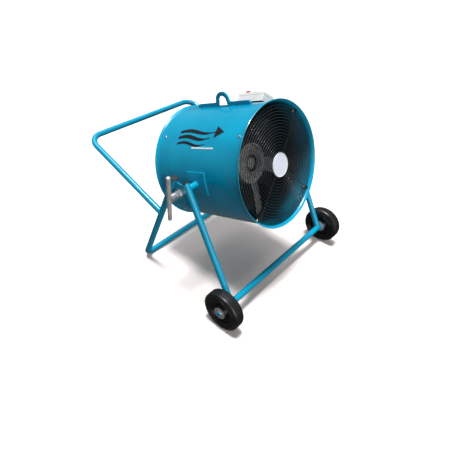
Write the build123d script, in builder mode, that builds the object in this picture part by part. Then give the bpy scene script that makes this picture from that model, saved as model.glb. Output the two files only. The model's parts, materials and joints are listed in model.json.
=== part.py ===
"""Portable 600 mm drum fan on a wheeled tube frame, in millimetres.

+X is the air outlet, +Y the left side, +Z up. The origin is on the floor, under the middle of
the fan. The drum hangs between two A-frames on one cross axis at its own middle, and a T-handled
screw on the right clamps it at any tilt. Positions on the drum use the drum's own lengths: s runs
forward along its axis from the front rim, and an angle runs from the left (+Y) towards the top.
"""

import os
from math import acos, cos, degrees, radians, sin, tan

from build123d import *

os.makedirs("parts", exist_ok=True)

# Clearance between pieces that move against each other, and of a shaft in its hole
GAP = 0.3
FIT = 0.05

# Frame tube
TUBE_R = 33.7 / 2
TUBE_WALL = 2.6
HOOP_BEND_R = 45
HANDLE_BEND_R = 75

# Frame nodes, seen from the side (x, z), and the distance of each tube from the middle plane
AXLE_X = 511
WHEEL_R = 108
FRONT_LEG_TOP = (197, 681)
REAR_LEG_TOP = (118.5, 675)
REAR_FOOT = (-155, TUBE_R)
HANDLE_BAR = (TUBE_R - AXLE_X - WHEEL_R, 632)
HANDLE_JOINT = 0.402
FRONT_LEG_Y = 419
REAR_LEG_Y = 415

# Gusset plates that join the leg tops and carry the drum
PLATE_Y = 417
PLATE_T = 6
PLATE_TOP_Z = 660
PLATE_REAR_Z = 542
PLATE_FRONT_Z = 560

# Wheels
WHEEL_Y = 475
TYRE_W = 68
TYRE_SEAT_R = 70
AXLE_R = 12.5
HUB_L = 72
HUB_FLANGE_R = 32
AXLE_END_Y = 516

# Drum
DRUM_TILT = 19.1
DRUM_L = 592
BARREL_R = 303
BARREL_WALL = 2.5
RIM_R = 315
FLARE_R = 30

# Pivot of the drum, seen from the side (x, z) and along the drum
PIVOT = (155, 606)
PIVOT_S = -292
BOSS_R = 16.5
SCREW_R = 10
PAD_T = 6
PAD_L = 126
PAD_H = 116
PAD_RISE = 3

# Lifting lug
LUG_T = 12
LUG_L = 356
WING_H = 22
EYE_R = 42
EYE_H = 33
EYE_HOLE_R = 27
EYE_HOLE_H = 28
EYE_HOLE_FOOT_H = 6
EYE_TAPER = 12

# Guards
RING_COUNT = 16
RING_PITCH = 14.4
RING_FIRST_R = 68
RING_WIRE_R = 1.6
ROD_R = 2.2
TAB_T = 3
TAB_L = 34
TAB_W = 18
GUARD_S = -14
REAR_GUARD_S = -569
GUARD_RISE = 9
GUARD_SCREW_S = -32
GUARD_SCREW_R = 3
GUARD_ANGLES = (45, 135, 225, 315)
CENTRE_PLATE_R = 46
BADGE_R = 60

# Impeller
HUB_R = 106
HUB_BORE_R = 46
HUB_FRONT_S = -183
HUB_REAR_S = -238
BLADE_COUNT = 6
BLADE_FIRST_ANGLE = 34
BLADE_TIP_R = 292
BLADE_T = 6
HUB_BOLT_PITCH_R = 86

# Motor
MOTOR_R = 86
MOTOR_BORE_R = 72
MOTOR_FRONT_S = -262
MOTOR_REAR_S = -430
BELL_L = 18
BEARING_R = 26
BEARING_L = 14
SHAFT_R = 12
ROTOR_R = 47
ARM_S = -365
ARM_L = 90
ARM_T = 6
FOOT_W = 44
FOOT_T = 6
CONDUIT_S = -288
CONDUIT_R = 8

# Control box, on the upper left of the drum
BOX_ANGLE = 55
BOX_S = -247
BOX_L = 170
BOX_W = 92
BOX_H = 50
BOX_SEAT_R = 318
BOX_WALL = 3
BOX_LID_H = 14
SEAL_T = 1.5
GLAND_S = -45
GLAND_H = 18
GLAND_BORE_R = 5.5
KNOB_S = -38
KNOB_ROUND = -24

# Clamp on the right: faces and radii along the pivot axis
WASHER_R = 23.5
WASHER_T = 3
NUT_AF = 33
NUT_L = 21
COLLAR_R = 20
COLLAR_FROM_Y = 450
T_BAR_Y = 488
T_BAR_R = 11
T_BAR_L = 247
SCREW_TIP_Y = 335

COS_T = cos(radians(DRUM_TILT))
SIN_T = sin(radians(DRUM_TILT))
FORWARD = Vector(COS_T, 0, SIN_T)
DRUM_UP = Vector(-SIN_T, 0, COS_T)
LEFT = Vector(0, 1, 0)
PIVOT_POINT = Vector(PIVOT[0], 0, PIVOT[1])
RIM_CENTRE = PIVOT_POINT - FORWARD * PIVOT_S
DRUM_AXIS = Axis(RIM_CENTRE, FORWARD)
BORE_R = BARREL_R - BARREL_WALL
PLATE_INNER_Y = PLATE_Y - PLATE_T / 2
PLATE_OUTER_Y = PLATE_Y + PLATE_T / 2
TAB_OUTER_R = BORE_R - 0.15
GUARD_PLACES = ((GUARD_SCREW_S, 1), (REAR_GUARD_S - GUARD_SCREW_S + GUARD_S, -1))
SIDES = {"left": 1, "right": -1}


def save(builder, name):
    """Label a finished piece and write it."""
    builder.part.label = name
    export_step(builder.part, f"parts/{name}.step")


# ---------------------------------------------------------------- planes


def cross_plane(s):
    """Plane across the drum at s: local x is left, local y is the drum's up."""
    return Plane(origin=RIM_CENTRE + FORWARD * s, x_dir=LEFT, z_dir=FORWARD)


def drum_side_plane():
    """Plane along the drum's middle: local x is s, local y is the drum's up."""
    return Plane(origin=RIM_CENTRE, x_dir=FORWARD, z_dir=-LEFT)


def outward(angle):
    return LEFT * cos(radians(angle)) + DRUM_UP * sin(radians(angle))


def radial_plane(s, angle, radius):
    """Plane facing outward at one place around the drum: local x is s, local y is round it."""
    direction = outward(angle)
    return Plane(origin=RIM_CENTRE + FORWARD * s + direction * radius, x_dir=FORWARD, z_dir=direction)


def side_plane(y):
    """Upright plane at y, whose local axes are x and z and whose normal is to the right."""
    return Plane(origin=(0, y, 0), x_dir=(1, 0, 0), z_dir=(0, -1, 0))


def pivot_plane(y, side):
    """Plane on the pivot axis at side * y, facing away from the drum."""
    return Plane(origin=PIVOT_POINT + LEFT * (side * y), x_dir=(1, 0, 0), z_dir=(0, side, 0))


def axle_plane(y, side):
    return Plane(origin=(AXLE_X, side * y, WHEEL_R), x_dir=(1, 0, 0), z_dir=(0, side, 0))


def tube_plane(start, end):
    return Plane(origin=start, z_dir=Vector(*end) - Vector(*start))


# ---------------------------------------------------------------- frame


def bent_tube(points, bend_radius):
    """Round tube along straight runs with bends of one radius."""
    with BuildPart() as tube:
        with BuildLine() as route:
            FilletPolyline(*points, radius=bend_radius)
        with BuildSketch(Plane(origin=route.line @ 0, z_dir=route.line % 0)):
            Circle(TUBE_R)
            Circle(TUBE_R - TUBE_WALL, mode=Mode.SUBTRACT)
        sweep(path=route.line)
    return tube


def at_side(point, y):
    """Side-view point (x, z) at a distance y from the middle plane."""
    return (point[0], y, point[1])


def along_rear_leg(fraction):
    x = REAR_LEG_TOP[0] + fraction * (REAR_FOOT[0] - REAR_LEG_TOP[0])
    z = REAR_LEG_TOP[1] + fraction * (REAR_FOOT[1] - REAR_LEG_TOP[1])
    return (x, z)


def make_rear_leg_hoop():
    corners = [(REAR_LEG_TOP, 1), (REAR_FOOT, 1), (REAR_FOOT, -1), (REAR_LEG_TOP, -1)]
    points = [at_side(point, side * REAR_LEG_Y) for point, side in corners]
    save(bent_tube(points, HOOP_BEND_R), "rear_leg_hoop")


def make_push_handle():
    """U-bent handle whose ends are coped round the rear legs."""
    joint = along_rear_leg(HANDLE_JOINT)
    corners = [(joint, 1), (HANDLE_BAR, 1), (HANDLE_BAR, -1), (joint, -1)]
    points = [at_side(point, side * REAR_LEG_Y) for point, side in corners]
    with BuildPart() as push_handle:
        add(bent_tube(points, HANDLE_BEND_R).part)
        for side in SIDES.values():
            start = at_side(REAR_LEG_TOP, side * REAR_LEG_Y)
            end = at_side(REAR_FOOT, side * REAR_LEG_Y)
            with BuildSketch(tube_plane(start, end)):
                Circle(TUBE_R)
            extrude(amount=700, mode=Mode.SUBTRACT)
    save(push_handle, "push_handle")


def mitre_plane(side):
    """Plane of the welded corner between a front leg and the cross tube."""
    down = Vector(AXLE_X - FRONT_LEG_TOP[0], 0, WHEEL_R - FRONT_LEG_TOP[1]).normalized()
    across = Vector(0, -side, 0)
    return Plane(origin=(AXLE_X, side * FRONT_LEG_Y, WHEEL_R), z_dir=down + across)


def make_front_leg(name, side):
    start = Vector(*at_side(FRONT_LEG_TOP, side * FRONT_LEG_Y))
    end = Vector(AXLE_X, side * FRONT_LEG_Y, WHEEL_R)
    overrun = 2 * TUBE_R
    with BuildPart() as front_leg:
        with BuildSketch(tube_plane(start, end)):
            Circle(TUBE_R)
            Circle(TUBE_R - TUBE_WALL, mode=Mode.SUBTRACT)
        extrude(amount=(end - start).length + overrun)
        split(bisect_by=mitre_plane(side), keep=Keep.BOTTOM)
        with BuildSketch(axle_plane(FRONT_LEG_Y, side)):
            Circle(AXLE_R)
        extrude(amount=2 * TUBE_R, mode=Mode.SUBTRACT)
    save(front_leg, f"front_leg_{name}")


def make_axle_cross_tube():
    with BuildPart() as axle_cross_tube:
        with BuildSketch(axle_plane(-FRONT_LEG_Y - 2 * TUBE_R, 1)):
            Circle(TUBE_R)
            Circle(TUBE_R - TUBE_WALL, mode=Mode.SUBTRACT)
        extrude(amount=2 * (FRONT_LEG_Y + 2 * TUBE_R))
        for side in SIDES.values():
            split(bisect_by=mitre_plane(side), keep=Keep.TOP)
    save(axle_cross_tube, "axle_cross_tube")


def make_axle_stubs():
    """Stub axles: a plug pressed into the cross tube, then the journal with its circlip groove."""
    plug_r = TUBE_R - TUBE_WALL
    plug_start = FRONT_LEG_Y - 60
    plug_end = FRONT_LEG_Y - TUBE_R
    groove_y = WHEEL_Y + HUB_L / 2 + GAP
    with BuildPart() as axle_stubs:
        for side in SIDES.values():
            with BuildSketch(axle_plane(plug_start, side)):
                Circle(plug_r)
            extrude(amount=plug_end - plug_start)
            with BuildSketch(axle_plane(plug_end, side)):
                Circle(AXLE_R)
            extrude(amount=AXLE_END_Y - plug_end)
            with BuildSketch(axle_plane(groove_y, side)):
                Circle(AXLE_R)
                Circle(AXLE_R - 1.2, mode=Mode.SUBTRACT)
            extrude(amount=1.8, mode=Mode.SUBTRACT)
        tips = axle_stubs.faces().group_by(Axis.Y)
        chamfer(tips[0].edges() + tips[-1].edges(), length=1.5)
    save(axle_stubs, "axle_stubs")


def make_axle_washers():
    """Spacer washers between each front leg and its wheel hub."""
    start = FRONT_LEG_Y + TUBE_R + GAP
    thickness = WHEEL_Y - HUB_L / 2 - GAP - start
    with BuildPart() as axle_washers:
        for side in SIDES.values():
            with BuildSketch(axle_plane(start, side)):
                Circle(24)
                Circle(AXLE_R, mode=Mode.SUBTRACT)
            extrude(amount=thickness)
    save(axle_washers, "axle_washers")


def make_axle_circlips():
    """Open spring rings in the axle grooves, outside the hubs."""
    start = WHEEL_Y + HUB_L / 2 + GAP
    with BuildPart() as axle_circlips:
        for side in SIDES.values():
            with BuildSketch(axle_plane(start, side)):
                Circle(17)
                Circle(AXLE_R - 1.2, mode=Mode.SUBTRACT)
                with Locations((0, -14)):
                    Rectangle(9, 12, mode=Mode.SUBTRACT)
            extrude(amount=1.8)
    save(axle_circlips, "axle_circlips")


def make_gusset_plate(name, side):
    """Plate between the two leg tops on one side, with the pivot hole."""
    rear_top = (PLATE_TOP_Z - REAR_LEG_TOP[1]) / (REAR_FOOT[1] - REAR_LEG_TOP[1])
    rear_low = (PLATE_REAR_Z - REAR_LEG_TOP[1]) / (REAR_FOOT[1] - REAR_LEG_TOP[1])
    slope = (AXLE_X - FRONT_LEG_TOP[0]) / (FRONT_LEG_TOP[1] - WHEEL_R)
    front_top_x = FRONT_LEG_TOP[0] + slope * (FRONT_LEG_TOP[1] - PLATE_TOP_Z)
    front_low_x = FRONT_LEG_TOP[0] + slope * (FRONT_LEG_TOP[1] - PLATE_FRONT_Z)
    outline = [
        along_rear_leg(rear_top),
        along_rear_leg(rear_low),
        (front_low_x, PLATE_FRONT_Z),
        (front_top_x, PLATE_TOP_Z),
    ]
    legs = [
        (at_side(REAR_LEG_TOP, side * REAR_LEG_Y), at_side(REAR_FOOT, side * REAR_LEG_Y)),
        (at_side(FRONT_LEG_TOP, side * FRONT_LEG_Y), (AXLE_X, side * FRONT_LEG_Y, WHEEL_R)),
    ]
    with BuildPart() as gusset_plate:
        with BuildSketch(side_plane(side * PLATE_Y)):
            with BuildLine():
                Polyline(*outline, close=True)
            make_face()
            with Locations(PIVOT):
                Circle(SCREW_R + FIT, mode=Mode.SUBTRACT)
        extrude(amount=PLATE_T / 2, both=True)
        for start, end in legs:
            with BuildSketch(tube_plane(start, end)):
                Circle(TUBE_R)
            extrude(amount=300, mode=Mode.SUBTRACT)
    save(gusset_plate, f"gusset_plate_{name}")


def make_leg_end_plugs():
    """Push-in plastic plugs in the four leg tops."""
    insert_r = TUBE_R - TUBE_WALL - FIT
    ends = [(REAR_LEG_TOP, REAR_FOOT, REAR_LEG_Y), (FRONT_LEG_TOP, (AXLE_X, WHEEL_R), FRONT_LEG_Y)]
    with BuildPart() as leg_end_plugs:
        for side in SIDES.values():
            for top, bottom, y in ends:
                seat = tube_plane(at_side(top, side * y), at_side(bottom, side * y))
                with BuildSketch(seat):
                    Circle(insert_r)
                extrude(amount=20)
                with BuildSketch(seat):
                    Circle(TUBE_R)
                extrude(amount=-4)
        heads = leg_end_plugs.faces().filter_by(GeomType.PLANE)
        caps = [face for face in heads if face.area > 800 and face.normal_at().Z > 0.5]
        fillet([edge for face in caps for edge in face.edges()], radius=2.5)
    save(leg_end_plugs, "leg_end_plugs")


# ---------------------------------------------------------------- wheels


def wheel_axis(side):
    return Axis((AXLE_X, side * WHEEL_Y, WHEEL_R), (0, 1, 0))


def wheel_section_plane(side):
    """Half section of a wheel: local x runs outward along the axle, local y is the radius."""
    return Plane(origin=(AXLE_X, side * WHEEL_Y, WHEEL_R), x_dir=(0, side, 0), z_dir=(-side, 0, 0))


def make_tyre(name, side):
    """Solid rubber tyre with a grooved tread and rounded shoulders."""
    half = TYRE_W / 2
    seat_r = TYRE_SEAT_R
    groove_pitch = 8
    with BuildPart() as tyre:
        with BuildSketch(wheel_section_plane(side)):
            with BuildLine():
                Polyline((-24, seat_r), (24, seat_r), (28, seat_r + 4), (half, seat_r + 9),
                         (half, WHEEL_R - 19), (half - 3.5, WHEEL_R - 9), (half - 8, WHEEL_R - 3),
                         (half - 14, WHEEL_R - 0.6), (0, WHEEL_R), (14 - half, WHEEL_R - 0.6),
                         (8 - half, WHEEL_R - 3), (3.5 - half, WHEEL_R - 9), (-half, WHEEL_R - 19),
                         (-half, seat_r + 9), (-28, seat_r + 4), close=True)
            make_face()
            for index in range(-2, 3):
                with Locations((index * groove_pitch, WHEEL_R)):
                    Rectangle(2.6, 6, mode=Mode.SUBTRACT)
        revolve(axis=wheel_axis(side))
    save(tyre, f"tyre_{name}")


def make_wheel_rim(name, side):
    """Moulded rim: a seat for the tyre, a dished web and a hub barrel."""
    seat_r = TYRE_SEAT_R
    with BuildPart() as wheel_rim:
        with BuildSketch(wheel_section_plane(side)):
            with BuildLine():
                Polyline((-24, seat_r), (24, seat_r), (28, seat_r + 4), (31, seat_r + 4), (27, 63),
                         (16, 58), (13, 44), (24, 37), (31, HUB_FLANGE_R), (31, 19), (-31, 19),
                         (-31, HUB_FLANGE_R), (-24, 37), (-13, 44), (-16, 58), (-27, 63),
                         (-31, seat_r + 4), (-28, seat_r + 4), close=True)
            make_face()
        revolve(axis=wheel_axis(side))
        with BuildSketch(axle_plane(WHEEL_Y - 30, side)):
            with PolarLocations(51, 5):
                Circle(5)
        extrude(amount=60, mode=Mode.SUBTRACT)
    save(wheel_rim, f"wheel_rim_{name}")


def make_wheel_hub(name, side):
    """Flanged steel bush that runs on the stub axle."""
    half = HUB_L / 2
    bore_r = AXLE_R + FIT
    with BuildPart() as wheel_hub:
        with BuildSketch(wheel_section_plane(side)):
            with BuildLine():
                Polyline((-half, bore_r), (half, bore_r), (half, 30), (half - 1.5, HUB_FLANGE_R),
                         (31, HUB_FLANGE_R), (31, 19), (-31, 19), (-31, HUB_FLANGE_R),
                         (1.5 - half, HUB_FLANGE_R), (-half, 30), close=True)
            make_face()
        revolve(axis=wheel_axis(side))
    save(wheel_hub, f"wheel_hub_{name}")


# ---------------------------------------------------------------- drum


def drum_s(shape):
    return (shape.center() - RIM_CENTRE).dot(FORWARD)


def drum_u(shape):
    return (shape.center() - RIM_CENTRE).dot(DRUM_UP)


def make_drum_shell():
    """Rolled barrel with both rims flared outward, and its screw and conduit holes."""
    flare_angle = degrees(acos(1 - (RIM_R - BARREL_R) / FLARE_R))
    flare_l = FLARE_R * sin(radians(flare_angle))
    front, rear = -flare_l, flare_l - DRUM_L
    with BuildPart() as drum_shell:
        with BuildSketch(drum_side_plane()):
            with BuildLine():
                Line((rear, BARREL_R), (front, BARREL_R))
                front_out = JernArc((front, BARREL_R), (1, 0), FLARE_R, flare_angle)
                front_in = JernArc((front, BORE_R), (1, 0), FLARE_R + BARREL_WALL, flare_angle)
                Line(front_out @ 1, front_in @ 1)
                Line((front, BORE_R), (rear, BORE_R))
                rear_out = JernArc((rear, BARREL_R), (-1, 0), FLARE_R, -flare_angle)
                rear_in = JernArc((rear, BORE_R), (-1, 0), FLARE_R + BARREL_WALL, -flare_angle)
                Line(rear_out @ 1, rear_in @ 1)
            make_face()
        revolve(axis=DRUM_AXIS)
        for plane in guard_screw_planes(BORE_R - 5):
            with BuildSketch(plane):
                Circle(GUARD_SCREW_R + 0.2)
            extrude(amount=12, mode=Mode.SUBTRACT)
        with BuildSketch(radial_plane(CONDUIT_S, BOX_ANGLE, BORE_R - 8)):
            Circle(CONDUIT_R)
        extrude(amount=16, mode=Mode.SUBTRACT)
    save(drum_shell, "drum_shell")


def make_pivot_pads():
    """Curved doubler plates that carry the pivot bosses."""
    with BuildPart() as pivot_pads:
        for side in SIDES.values():
            with BuildSketch(cross_plane(PIVOT_S + 4 - PAD_L / 2)):
                Circle(BARREL_R + PAD_T)
                Circle(BARREL_R, mode=Mode.SUBTRACT)
                with Locations((side * BARREL_R, PAD_RISE)):
                    Rectangle(80, PAD_H, mode=Mode.INTERSECT)
            extrude(amount=PAD_L)
    save(pivot_pads, "pivot_pads")


def make_pivot_boss(name, side):
    """Threaded tube boss from the pad to the gusset plate."""
    with BuildPart() as pivot_boss:
        with BuildSketch(pivot_plane(BARREL_R, side)):
            Circle(BOSS_R)
            Circle(SCREW_R + FIT, mode=Mode.SUBTRACT)
        extrude(amount=PLATE_INNER_Y - GAP - BARREL_R)
        with BuildSketch(cross_plane(-DRUM_L)):
            Circle(BARREL_R + PAD_T)
        extrude(amount=DRUM_L, mode=Mode.SUBTRACT)
    save(pivot_boss, f"pivot_boss_{name}")


def make_lifting_lug():
    """Plate welded along the top of the barrel, with a tapered lifting eye at its middle."""
    root = BARREL_R - 4
    wing_top = BARREL_R + WING_H
    ends = (PIVOT_S - LUG_L / 2, PIVOT_S + LUG_L / 2)
    lean = radians(EYE_TAPER)
    arch_u = BARREL_R + EYE_H
    hole_u = BARREL_R + EYE_HOLE_H
    hole_low = BARREL_R + EYE_HOLE_FOOT_H
    foot_half = EYE_R / cos(lean) + (arch_u - wing_top) * tan(lean)
    hole_half = EYE_HOLE_R / cos(lean) + (hole_u - hole_low) * tan(lean)
    with BuildPart() as lifting_lug:
        with BuildSketch(drum_side_plane()):
            with BuildLine():
                Polyline((ends[0], root), (ends[0], wing_top - 9), (ends[0] + 9, wing_top),
                         (ends[1] - 9, wing_top), (ends[1], wing_top - 9), (ends[1], root),
                         close=True)
            make_face()
            add(tapered_arch(EYE_R, arch_u, foot_half, wing_top))
            add(tapered_arch(EYE_HOLE_R, hole_u, hole_half, hole_low), mode=Mode.SUBTRACT)
        extrude(amount=LUG_T / 2, both=True)
        feet = lifting_lug.edges().filter_by(Axis.Y).filter_by(
            lambda edge: abs(abs(drum_s(edge) - PIVOT_S) - foot_half) < 1
            and abs(drum_u(edge) - wing_top) < 1
        )
        fillet(feet, radius=12)
        with BuildSketch(cross_plane(-DRUM_L)):
            Circle(BARREL_R)
        extrude(amount=DRUM_L, mode=Mode.SUBTRACT)
    save(lifting_lug, "lifting_lug")


def tapered_arch(radius, centre_u, foot_half, foot_u):
    """Round top with straight sides that spread to a wider foot, on the drum's side plane."""
    lean = radians(EYE_TAPER)
    shoulder = (radius * cos(lean), centre_u + radius * sin(lean))
    with BuildSketch(mode=Mode.PRIVATE) as arch:
        with BuildLine():
            Line((PIVOT_S - foot_half, foot_u), (PIVOT_S + foot_half, foot_u))
            Line((PIVOT_S + foot_half, foot_u), (PIVOT_S + shoulder[0], shoulder[1]))
            ThreePointArc((PIVOT_S + shoulder[0], shoulder[1]), (PIVOT_S, centre_u + radius),
                          (PIVOT_S - shoulder[0], shoulder[1]))
            Line((PIVOT_S - shoulder[0], shoulder[1]), (PIVOT_S - foot_half, foot_u))
        make_face()
    return arch.sketch


# ---------------------------------------------------------------- guards


def guard_point(s, direction, angle, radius):
    """Middle of a guard rod at one radius; the guard is dished towards its centre."""
    drop = GUARD_RISE * radius / TAB_OUTER_R
    return RIM_CENTRE + FORWARD * (s + direction * (GUARD_RISE - drop)) + outward(angle) * radius


def make_guard(name, s, direction):
    """Dished wire guard: rings on four rods, with a centre plate and a screw tab on each rod."""
    centre_s = s + direction * GUARD_RISE
    ring_lift = ROD_R + RING_WIRE_R + 0.02
    tab_s = s - direction * (TAB_L / 2 - 5)
    with BuildPart() as guard:
        with BuildSketch(cross_plane(centre_s - direction * (ROD_R - 0.5))):
            Circle(CENTRE_PLATE_R)
        extrude(amount=-direction * 3)
        for angle in GUARD_ANGLES:
            inner = guard_point(s, direction, angle, 14)
            outer = guard_point(s, direction, angle, TAB_OUTER_R - 1)
            with BuildSketch(Plane(origin=inner, z_dir=outer - inner)):
                Circle(ROD_R)
            extrude(amount=(outer - inner).length)
            with BuildSketch(radial_plane(tab_s, angle, TAB_OUTER_R - TAB_T)):
                RectangleRounded(TAB_L, TAB_W, 4)
                with Locations(((GUARD_SCREW_S - GUARD_S + TAB_L / 2 - 5) * direction, 0)):
                    Circle(GUARD_SCREW_R + 0.2, mode=Mode.SUBTRACT)
            extrude(amount=TAB_T)
        with BuildSketch(drum_side_plane()):
            for index in range(RING_COUNT):
                radius = RING_FIRST_R + index * RING_PITCH
                rod_s = centre_s - direction * GUARD_RISE * radius / TAB_OUTER_R
                with Locations((rod_s + direction * ring_lift, radius)):
                    Circle(RING_WIRE_R)
        revolve(axis=DRUM_AXIS)
    save(guard, name)


def make_guard_badge():
    """Blank round plate on the middle of the front guard."""
    with BuildPart() as guard_badge:
        with BuildSketch(cross_plane(GUARD_S + GUARD_RISE + ROD_R)):
            Circle(BADGE_R)
        extrude(amount=3)
        chamfer(guard_badge.faces().sort_by(Axis(RIM_CENTRE, FORWARD))[-1].edges(), length=1)
    save(guard_badge, "guard_badge")


def guard_screw_planes(radius):
    for s, _ in GUARD_PLACES:
        for angle in GUARD_ANGLES:
            yield radial_plane(s, angle, radius)


def make_guard_screws():
    """Button-head screws through the barrel into the guard tabs."""
    with BuildPart() as guard_screws:
        for plane in guard_screw_planes(BORE_R - 13):
            with BuildSketch(plane):
                Circle(GUARD_SCREW_R)
            extrude(amount=13 + BARREL_WALL + 1)
        for plane in guard_screw_planes(BARREL_R):
            with BuildSketch(plane):
                Circle(7)
            extrude(amount=4, taper=25)
    save(guard_screws, "guard_screws")


def make_guard_nuts():
    """Flanged nuts behind the guard tabs."""
    seat_r = TAB_OUTER_R - TAB_T
    with BuildPart() as guard_nuts:
        for plane in guard_screw_planes(seat_r - 1.5):
            with BuildSketch(plane):
                Circle(7)
                Circle(GUARD_SCREW_R + 0.01, mode=Mode.SUBTRACT)
            extrude(amount=1.5)
        for plane in guard_screw_planes(seat_r - 7):
            with BuildSketch(plane):
                RegularPolygon(5, 6, major_radius=False)
                Circle(GUARD_SCREW_R + 0.01, mode=Mode.SUBTRACT)
            extrude(amount=5.5)
    save(guard_nuts, "guard_nuts")


# ---------------------------------------------------------------- motor


def make_axial_ring(name, s_from, s_to, outer_r, inner_r):
    """Plain ring along the drum's axis."""
    with BuildPart() as ring:
        with BuildSketch(cross_plane(s_from)):
            Circle(outer_r)
            Circle(inner_r, mode=Mode.SUBTRACT)
        extrude(amount=s_to - s_from)
    save(ring, name)


def make_motor_housing():
    """Finned body with four flat pads for the arms and one for the terminal box."""
    fin_h = 12
    with BuildPart() as motor_housing:
        with BuildSketch(cross_plane(MOTOR_REAR_S)):
            Circle(MOTOR_R - 8)
            with PolarLocations(MOTOR_R - 1 - fin_h / 2, 40):
                Rectangle(fin_h, 3)
        extrude(amount=MOTOR_FRONT_S - MOTOR_REAR_S)
        for angle in GUARD_ANGLES:
            with BuildSketch(radial_plane(ARM_S, angle, MOTOR_R)):
                Rectangle(ARM_L, FOOT_W)
            extrude(amount=-fin_h)
        with BuildSketch(radial_plane(CONDUIT_S, BOX_ANGLE, MOTOR_R)):
            Rectangle(44, 50)
        extrude(amount=-fin_h)
        with BuildSketch(cross_plane(MOTOR_REAR_S)):
            Circle(MOTOR_BORE_R)
        extrude(amount=MOTOR_FRONT_S - MOTOR_REAR_S, mode=Mode.SUBTRACT)
        for angle in GUARD_ANGLES:
            with BuildSketch(radial_plane(ARM_S, angle, MOTOR_R)):
                with GridLocations(ARM_L - 26, 28, 2, 2):
                    Circle(3.01)
            extrude(amount=-9, mode=Mode.SUBTRACT)
    save(motor_housing, "motor_housing")


def make_motor_bell(name, s_face, direction):
    """End bell, stepped round the bearing; the front one lets the shaft through."""
    with BuildPart() as bell:
        with BuildSketch(cross_plane(s_face)):
            Circle(MOTOR_R - 2)
        extrude(amount=direction * (BELL_L - 6))
        with BuildSketch(cross_plane(s_face)):
            Circle(MOTOR_R - 18)
        extrude(amount=direction * (BELL_L - 3))
        with BuildSketch(cross_plane(s_face)):
            Circle(36)
        extrude(amount=direction * BELL_L)
        with BuildSketch(cross_plane(s_face)):
            Circle(BEARING_R)
        extrude(amount=direction * BEARING_L, mode=Mode.SUBTRACT)
        if direction > 0:
            with BuildSketch(cross_plane(s_face)):
                Circle(SHAFT_R + 1)
            extrude(amount=BELL_L, mode=Mode.SUBTRACT)
    save(bell, name)


def make_motor_bearings():
    with BuildPart() as motor_bearings:
        for s in (MOTOR_FRONT_S, MOTOR_REAR_S - BEARING_L):
            with BuildSketch(cross_plane(s)):
                Circle(BEARING_R)
                Circle(SHAFT_R + FIT, mode=Mode.SUBTRACT)
            extrude(amount=BEARING_L)
    save(motor_bearings, "motor_bearings")


def make_motor_arms():
    """Four flat arms welded inside the barrel, each with a bolted foot on the motor."""
    with BuildPart() as motor_arms:
        for angle in GUARD_ANGLES:
            with BuildSketch(radial_plane(ARM_S, angle, MOTOR_R)):
                Rectangle(ARM_L, FOOT_W)
                with GridLocations(ARM_L - 26, 28, 2, 2):
                    Circle(3.2, mode=Mode.SUBTRACT)
            extrude(amount=FOOT_T)
            with BuildSketch(radial_plane(ARM_S, angle, MOTOR_R + FOOT_T)):
                Rectangle(ARM_L, ARM_T)
            extrude(amount=BORE_R - MOTOR_R - FOOT_T + 5)
        with BuildSketch(cross_plane(ARM_S - ARM_L)):
            Circle(BORE_R + 20)
            Circle(BORE_R, mode=Mode.SUBTRACT)
        extrude(amount=2 * ARM_L, mode=Mode.SUBTRACT)
    save(motor_arms, "motor_arms")


def make_motor_bolts():
    """Cap screws through the arm feet into the motor body."""
    with BuildPart() as motor_bolts:
        for angle in GUARD_ANGLES:
            with BuildSketch(radial_plane(ARM_S, angle, MOTOR_R - 8)):
                with GridLocations(ARM_L - 26, 28, 2, 2):
                    Circle(3)
            extrude(amount=8 + FOOT_T + 2)
            with BuildSketch(radial_plane(ARM_S, angle, MOTOR_R + FOOT_T)):
                with GridLocations(ARM_L - 26, 28, 2, 2):
                    Circle(5)
            extrude(amount=6)
    save(motor_bolts, "motor_bolts")


def make_motor_terminal_box():
    """Junction box on the motor, round the foot of the conduit."""
    height = 30
    wall = 3
    with BuildPart() as motor_terminal_box:
        with BuildSketch(radial_plane(CONDUIT_S, BOX_ANGLE, MOTOR_R)):
            RectangleRounded(42, 48, 5)
        extrude(amount=height)
        with BuildSketch(radial_plane(CONDUIT_S, BOX_ANGLE, MOTOR_R + wall)):
            RectangleRounded(42 - 2 * wall, 48 - 2 * wall, 3)
        extrude(amount=height - 2 * wall, mode=Mode.SUBTRACT)
        with BuildSketch(radial_plane(CONDUIT_S, BOX_ANGLE, MOTOR_R)):
            Circle(CONDUIT_R)
        extrude(amount=height, mode=Mode.SUBTRACT)
    save(motor_terminal_box, "motor_terminal_box")


def make_lead_conduit():
    """Rigid conduit that takes the motor lead straight out to the control box."""
    start_r = MOTOR_R + 18
    with BuildPart() as lead_conduit:
        with BuildSketch(radial_plane(CONDUIT_S, BOX_ANGLE, start_r)):
            Circle(CONDUIT_R)
            Circle(CONDUIT_R - 1.5, mode=Mode.SUBTRACT)
        extrude(amount=BOX_SEAT_R + BOX_WALL + 3 - start_r)
    save(lead_conduit, "lead_conduit")


# ---------------------------------------------------------------- impeller


def make_impeller_hub():
    """Cast hub: a rim that holds the blade roots, a rear web and a bored boss."""
    web_s = HUB_REAR_S + 12
    seat_s = HUB_FRONT_S - 5
    boss_r = 30
    with BuildPart() as impeller_hub:
        with BuildSketch(drum_side_plane()):
            with BuildLine():
                Polyline((HUB_REAR_S, HUB_R), (seat_s, HUB_R), (seat_s, HUB_R - 10),
                         (web_s, HUB_R - 10), (web_s, boss_r + 6), (HUB_FRONT_S - 1, boss_r),
                         (HUB_FRONT_S - 1, SHAFT_R), (HUB_REAR_S, SHAFT_R), close=True)
            make_face()
        revolve(axis=DRUM_AXIS)
    save(impeller_hub, "impeller_hub")


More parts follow.
